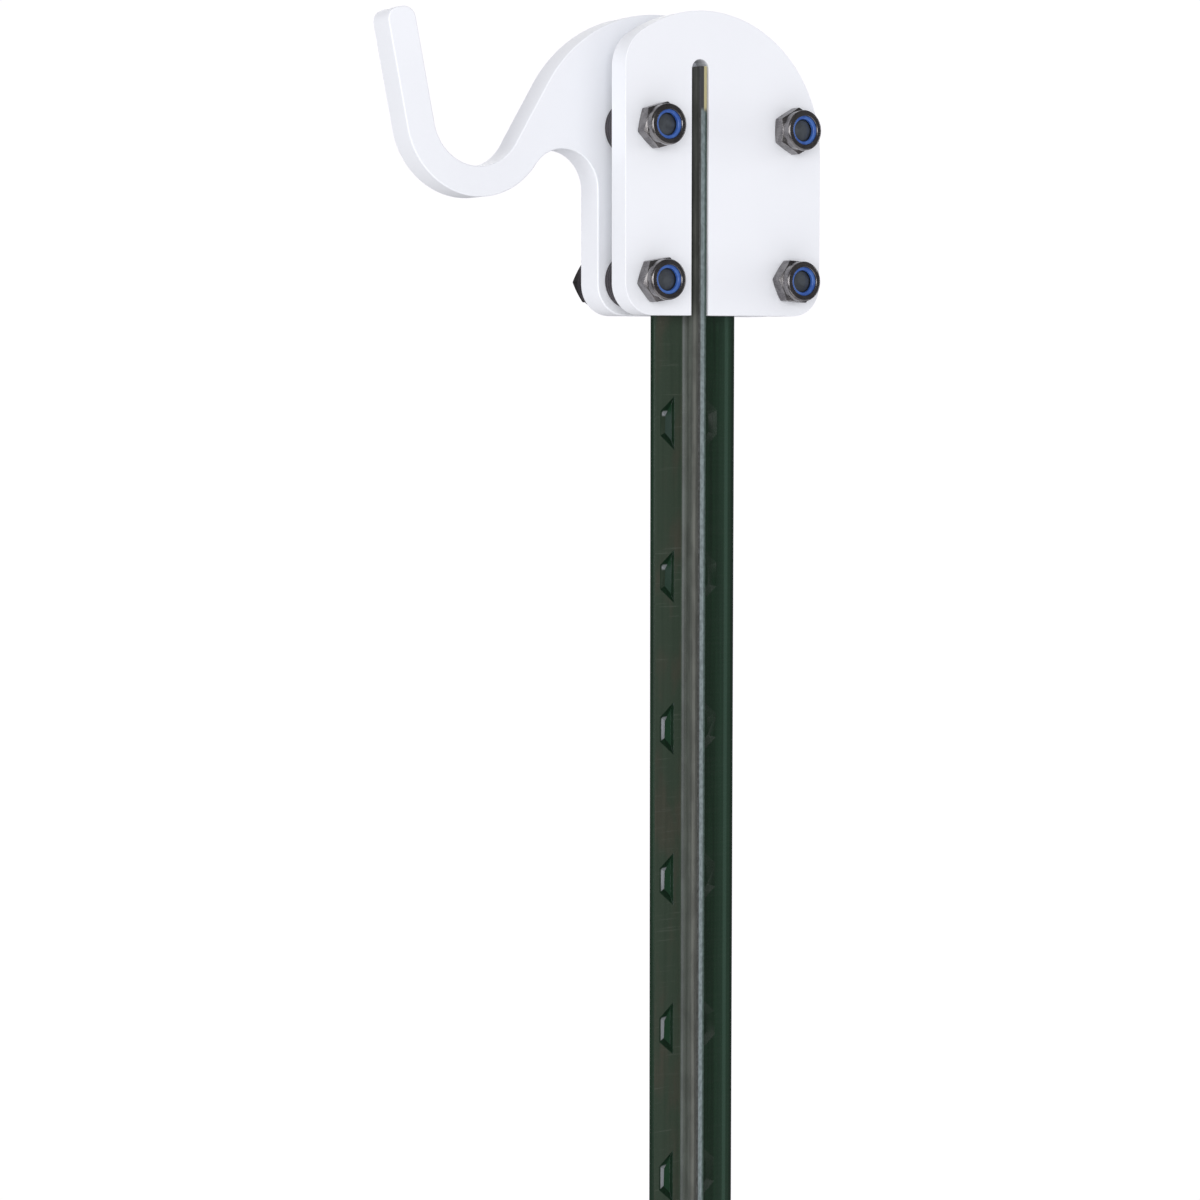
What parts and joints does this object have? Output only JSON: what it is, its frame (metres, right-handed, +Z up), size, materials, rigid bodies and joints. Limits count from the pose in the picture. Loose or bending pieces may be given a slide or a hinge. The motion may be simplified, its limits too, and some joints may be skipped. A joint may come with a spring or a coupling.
{
  "type": "t-post with bolted hook bracket",
  "caption": "Studded steel T-post with a two-plate bracket bolted over its top end; the rear plate ends in an open J hook for hanging or guiding a line.",
  "frame": {"origin": "lower end of the post, on the stem's middle plane and the flange's stem-side face", "axes": "+Z up the post; +Y through the flange, away from the stem and towards the hook plate; +X towards the plates' far side, so the hook points to -X"},
  "size_m": [0.1718, 0.0536, 1.238],
  "materials": {
    "post_paint": "dark green baked enamel, satin, on hot-rolled steel",
    "plate_coat": "white powder coat, satin",
    "bolt_black": "black oxide",
    "nut_zinc": "black zinc, bright",
    "insert_nylon": "blue nylon",
    "spacer_black": "black zinc, satin"
  },
  "bodies": {
    "post": {"t_post": "post_paint", "anchor_plate": "post_paint", "rivet_upper_left": "post_paint", "rivet_upper_right": "post_paint", "rivet_lower_left": "post_paint", "rivet_lower_right": "post_paint"},
    "bracket": {"hook_plate": "plate_coat", "slotted_plate": "plate_coat", "bolt_upper_left": "bolt_black", "bolt_upper_right": "bolt_black", "bolt_lower_left": "bolt_black", "bolt_lower_right": "bolt_black", "locknut_upper_left": "nut_zinc", "locknut_upper_right": "nut_zinc", "locknut_lower_left": "nut_zinc", "locknut_lower_right": "nut_zinc", "nylon_insert_upper_left": "insert_nylon", "nylon_insert_upper_right": "insert_nylon", "nylon_insert_lower_left": "insert_nylon", "nylon_insert_lower_right": "insert_nylon", "spacer_upper_left": "spacer_black", "spacer_upper_right": "spacer_black", "spacer_lower_left": "spacer_black", "spacer_lower_right": "spacer_black", "rear_spacer_upper_left": "spacer_black", "rear_spacer_upper_right": "spacer_black", "rear_spacer_lower_left": "spacer_black", "rear_spacer_lower_right": "spacer_black"}
  },
  "joints": [
    {"name": "bracket_slide", "type": "slide", "parent": "post", "child": "bracket", "axis": [0, 0, 1], "range_m": [0, 0.1]}
  ]
}
